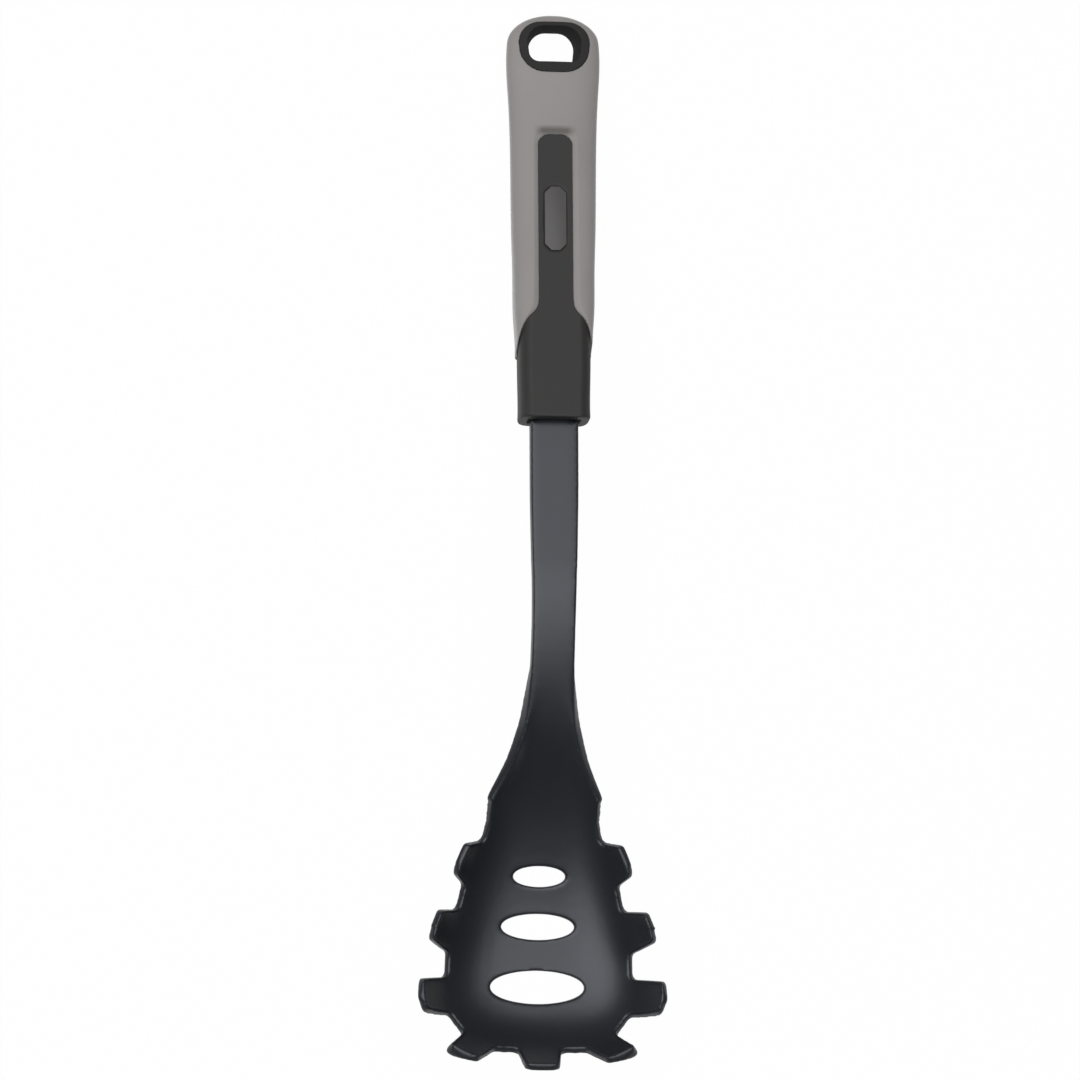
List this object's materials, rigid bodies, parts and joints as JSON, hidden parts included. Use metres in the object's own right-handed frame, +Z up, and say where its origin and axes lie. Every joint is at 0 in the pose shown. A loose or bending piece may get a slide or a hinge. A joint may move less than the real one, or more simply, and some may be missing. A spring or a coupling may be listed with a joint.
{
  "type": "pasta server",
  "caption": "Pasta server with a toothed, slotted nylon scoop on a long flat shank, a two-material handle with a soft grip, and a lined hang hole.",
  "frame": {"origin": "on the table, under the middle of the tool's box", "axes": "+Y from the scoop to the handle's butt, +Z up out of the open scoop, +X to the right"},
  "size_m": [0.079, 0.3304, 0.0359],
  "materials": {
    "nylon": "satin black nylon, faintly blue",
    "core_plastic": "fine matte charcoal",
    "soft_rubber": "soft-touch warm grey, matte",
    "liner_plastic": "satin black",
    "badge_plastic": "fine matte dark grey, blank",
    "pin_steel": "plain ground"
  },
  "bodies": {
    "root": {"server_head": "nylon", "handle_core": "core_plastic", "soft_grip": "soft_rubber", "hang_hole_liner": "liner_plastic", "badge_plate": "badge_plastic", "tang_pins": "pin_steel"}
  },
  "joints": []
}
